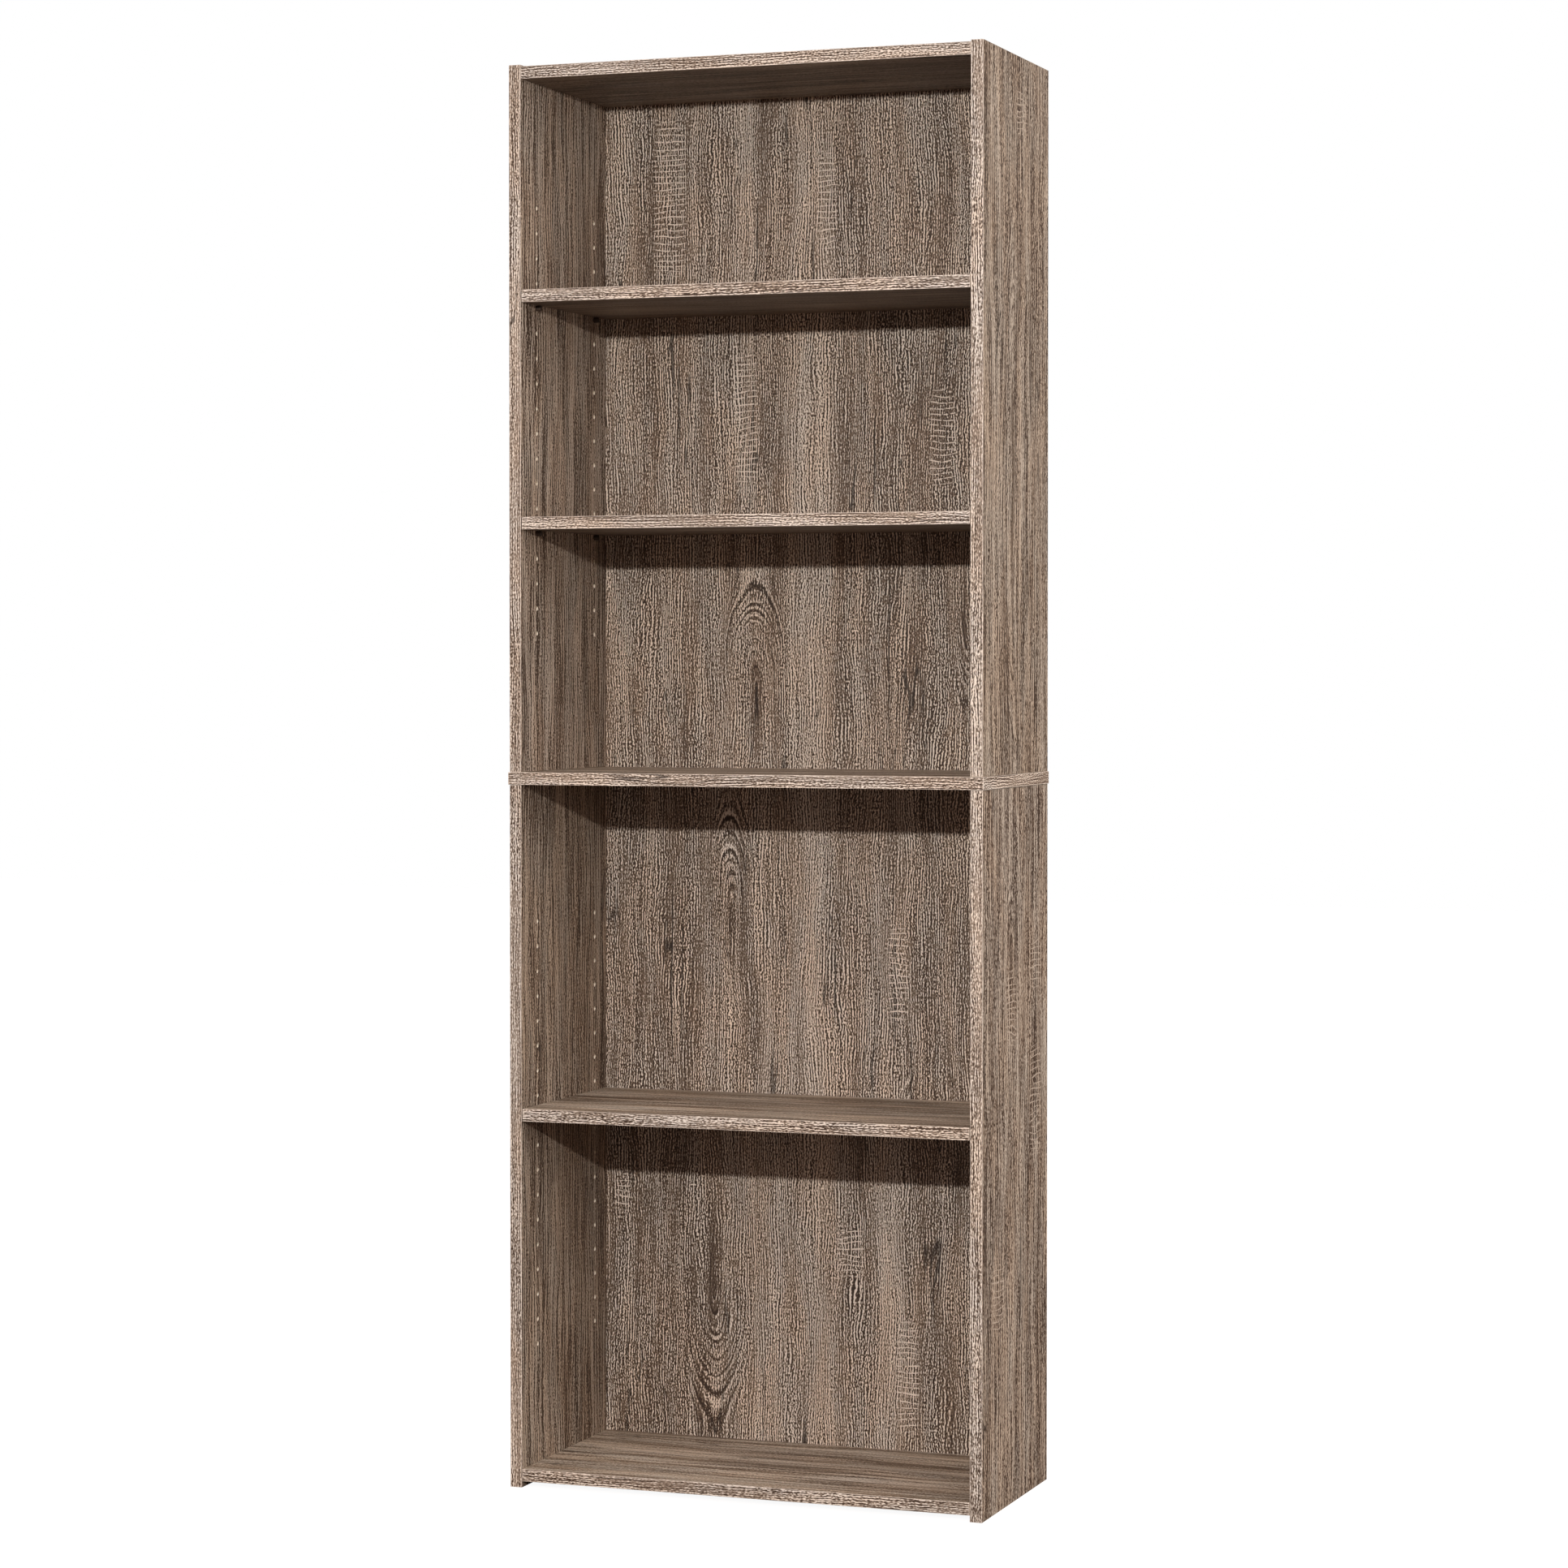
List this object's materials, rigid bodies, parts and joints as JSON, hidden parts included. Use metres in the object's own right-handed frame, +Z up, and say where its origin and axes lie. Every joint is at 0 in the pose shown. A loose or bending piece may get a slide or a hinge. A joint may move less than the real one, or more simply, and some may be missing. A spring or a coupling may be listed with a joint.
{
  "type": "bookcase with adjustable shelves",
  "caption": "Tall, narrow open bookcase in greyed-oak laminate: two stacked sections with a fixed shelf between them, loose shelves on push-in pins, and a thin nailed back.",
  "frame": {"origin": "on the floor, at the centre of the footprint", "axes": "+Z up, +X to the right seen from the open front, +Y towards the back"},
  "size_m": [0.633, 0.2848, 1.81],
  "materials": {
    "oak_laminate": "matt greyed-oak printed foil on chipboard, grain along each board",
    "back_board": "matt printed oak on the front, raw brown fibre behind",
    "pin_plastic": "dark brown moulded",
    "cam_zinc": "dull die-cast zinc",
    "bolt_steel": "bright zinc-plated",
    "screw_steel": "yellow-grey zinc-plated",
    "dowel_beech": "plain beech"
  },
  "bodies": {
    "carcass": {"side_lower_left": "oak_laminate", "side_lower_right": "oak_laminate", "back_lower": "back_board", "side_upper_left": "oak_laminate", "side_upper_right": "oak_laminate", "back_upper": "back_board", "top_panel": "oak_laminate", "bottom_panel": "oak_laminate", "fixed_shelf": "oak_laminate", "top_cam_front_left": "cam_zinc", "top_cam_bolt_front_left": "bolt_steel", "top_cam_front_right": "cam_zinc", "top_cam_bolt_front_right": "bolt_steel", "top_cam_rear_left": "cam_zinc", "top_cam_bolt_rear_left": "bolt_steel", "top_cam_rear_right": "cam_zinc", "top_cam_bolt_rear_right": "bolt_steel", "top_dowel_left": "dowel_beech", "top_dowel_right": "dowel_beech", "bottom_cam_front_left": "cam_zinc", "bottom_cam_bolt_front_left": "bolt_steel", "bottom_cam_front_right": "cam_zinc", "bottom_cam_bolt_front_right": "bolt_steel", "bottom_cam_rear_left": "cam_zinc", "bottom_cam_bolt_rear_left": "bolt_steel", "bottom_cam_rear_right": "cam_zinc", "bottom_cam_bolt_rear_right": "bolt_steel", "bottom_dowel_left": "dowel_beech", "bottom_dowel_right": "dowel_beech", "connector_screw_front_left": "screw_steel", "fixed_shelf_dowel_front_left": "dowel_beech", "connector_screw_front_right": "screw_steel", "fixed_shelf_dowel_front_right": "dowel_beech", "connector_screw_rear_left": "screw_steel", "fixed_shelf_dowel_rear_left": "dowel_beech", "connector_screw_rear_right": "screw_steel", "fixed_shelf_dowel_rear_right": "dowel_beech", "back_nail_lower_low_left": "screw_steel", "back_nail_lower_low_right": "screw_steel", "back_nail_lower_high_left": "screw_steel", "back_nail_lower_high_right": "screw_steel", "back_nail_upper_low_left": "screw_steel", "back_nail_upper_low_right": "screw_steel", "back_nail_upper_high_left": "screw_steel", "back_nail_upper_high_right": "screw_steel"},
    "upper_shelf": {"shelf_upper": "oak_laminate"},
    "middle_shelf": {"shelf_middle": "oak_laminate"},
    "lower_shelf": {"shelf_lower": "oak_laminate"},
    "upper_shelf_pin_front_left": {"shelf_upper_pin_front_left": "pin_plastic"},
    "upper_shelf_pin_front_right": {"shelf_upper_pin_front_right": "pin_plastic"},
    "upper_shelf_pin_rear_left": {"shelf_upper_pin_rear_left": "pin_plastic"},
    "upper_shelf_pin_rear_right": {"shelf_upper_pin_rear_right": "pin_plastic"},
    "middle_shelf_pin_front_left": {"shelf_middle_pin_front_left": "pin_plastic"},
    "middle_shelf_pin_front_right": {"shelf_middle_pin_front_right": "pin_plastic"},
    "middle_shelf_pin_rear_left": {"shelf_middle_pin_rear_left": "pin_plastic"},
    "middle_shelf_pin_rear_right": {"shelf_middle_pin_rear_right": "pin_plastic"},
    "lower_shelf_pin_front_left": {"shelf_lower_pin_front_left": "pin_plastic"},
    "lower_shelf_pin_front_right": {"shelf_lower_pin_front_right": "pin_plastic"},
    "lower_shelf_pin_rear_left": {"shelf_lower_pin_rear_left": "pin_plastic"},
    "lower_shelf_pin_rear_right": {"shelf_lower_pin_rear_right": "pin_plastic"}
  },
  "joints": [
    {"name": "upper_shelf_lift", "type": "slide", "parent": "carcass", "child": "upper_shelf", "axis": [0, 0, 1], "range_m": [0, 0.265]},
    {"name": "middle_shelf_lift", "type": "slide", "parent": "carcass", "child": "middle_shelf", "axis": [0, 0, 1], "range_m": [0, 0.2635]},
    {"name": "lower_shelf_lift", "type": "slide", "parent": "carcass", "child": "lower_shelf", "axis": [0, 0, 1], "range_m": [0, 0.4115]},
    {"name": "upper_shelf_pin_front_left_pull", "type": "slide", "parent": "carcass", "child": "upper_shelf_pin_front_left", "axis": [1, 0, 0], "range_m": [0, 0.009]},
    {"name": "upper_shelf_pin_front_right_pull", "type": "slide", "parent": "carcass", "child": "upper_shelf_pin_front_right", "axis": [-1, 0, 0], "range_m": [0, 0.009]},
    {"name": "upper_shelf_pin_rear_left_pull", "type": "slide", "parent": "carcass", "child": "upper_shelf_pin_rear_left", "axis": [1, 0, 0], "range_m": [0, 0.009]},
    {"name": "upper_shelf_pin_rear_right_pull", "type": "slide", "parent": "carcass", "child": "upper_shelf_pin_rear_right", "axis": [-1, 0, 0], "range_m": [0, 0.009]},
    {"name": "middle_shelf_pin_front_left_pull", "type": "slide", "parent": "carcass", "child": "middle_shelf_pin_front_left", "axis": [1, 0, 0], "range_m": [0, 0.009]},
    {"name": "middle_shelf_pin_front_right_pull", "type": "slide", "parent": "carcass", "child": "middle_shelf_pin_front_right", "axis": [-1, 0, 0], "range_m": [0, 0.009]},
    {"name": "middle_shelf_pin_rear_left_pull", "type": "slide", "parent": "carcass", "child": "middle_shelf_pin_rear_left", "axis": [1, 0, 0], "range_m": [0, 0.009]},
    {"name": "middle_shelf_pin_rear_right_pull", "type": "slide", "parent": "carcass", "child": "middle_shelf_pin_rear_right", "axis": [-1, 0, 0], "range_m": [0, 0.009]},
    {"name": "lower_shelf_pin_front_left_pull", "type": "slide", "parent": "carcass", "child": "lower_shelf_pin_front_left", "axis": [1, 0, 0], "range_m": [0, 0.009]},
    {"name": "lower_shelf_pin_front_right_pull", "type": "slide", "parent": "carcass", "child": "lower_shelf_pin_front_right", "axis": [-1, 0, 0], "range_m": [0, 0.009]},
    {"name": "lower_shelf_pin_rear_left_pull", "type": "slide", "parent": "carcass", "child": "lower_shelf_pin_rear_left", "axis": [1, 0, 0], "range_m": [0, 0.009]},
    {"name": "lower_shelf_pin_rear_right_pull", "type": "slide", "parent": "carcass", "child": "lower_shelf_pin_rear_right", "axis": [-1, 0, 0], "range_m": [0, 0.009]}
  ]
}
